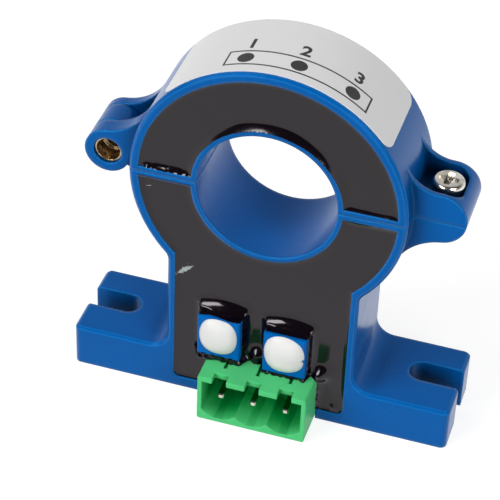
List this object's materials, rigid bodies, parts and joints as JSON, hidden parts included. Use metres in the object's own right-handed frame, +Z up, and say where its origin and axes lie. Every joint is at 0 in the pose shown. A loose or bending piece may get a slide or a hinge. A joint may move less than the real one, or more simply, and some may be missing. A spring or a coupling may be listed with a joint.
{
  "type": "split-core current transducer",
  "caption": "Split-core current transducer: blue hinged ring round a cable window on a slotted foot, black potted front, green terminal header, sealed trimmers and a clamp screw.",
  "frame": {"origin": "centre of the underside of the feet", "axes": "+X from the hinge to the clamp screw, -Y is the front with the potting and the terminals, +Z up through the ring"},
  "size_m": [0.0594, 0.0211, 0.0604],
  "materials": {
    "housing_plastic": "satin",
    "potting_resin": "gloss",
    "header_plastic": "satin",
    "trimmer_plastic": "satin",
    "rotor_plastic": "satin",
    "silicone": "satin",
    "brass": "satin",
    "nickel_steel": "polished",
    "tinned_pin": "satin",
    "core_steel": "satin",
    "board": "satin",
    "chip_plastic": "matte",
    "capacitor_case": "satin",
    "label_film": "satin"
  },
  "bodies": {
    "base": {"base_housing": "housing_plastic", "hinge_pin": "brass", "threaded_insert": "brass", "lower_core_left": "core_steel", "lower_core_right": "core_steel", "hall_sensor": "chip_plastic", "circuit_board": "board", "amplifier_chip": "chip_plastic", "voltage_regulator": "chip_plastic", "supply_capacitor": "capacitor_case", "terminal_header": "header_plastic", "terminal_pin_1": "tinned_pin", "terminal_pin_2": "tinned_pin", "terminal_pin_3": "tinned_pin", "left_trimmer_body": "trimmer_plastic", "left_trimmer_rotor": "rotor_plastic", "left_trimmer_seal": "silicone", "right_trimmer_body": "trimmer_plastic", "right_trimmer_rotor": "rotor_plastic", "right_trimmer_seal": "silicone", "lower_potting": "potting_resin"},
    "top": {"top_housing": "housing_plastic", "upper_core": "core_steel", "upper_potting": "potting_resin", "label": "label_film"},
    "screw": {"clamp_screw": "nickel_steel"}
  },
  "joints": [
    {"name": "top_hinge", "type": "hinge", "parent": "base", "child": "top", "pos_m": [-0.025, 0, 0.0396], "axis": [0, -1, 0], "range_deg": [0, 110]},
    {"name": "screw_slide", "type": "slide", "parent": "top", "child": "screw", "axis": [0, 0, 1], "range_m": [0, 0.004]}
  ]
}
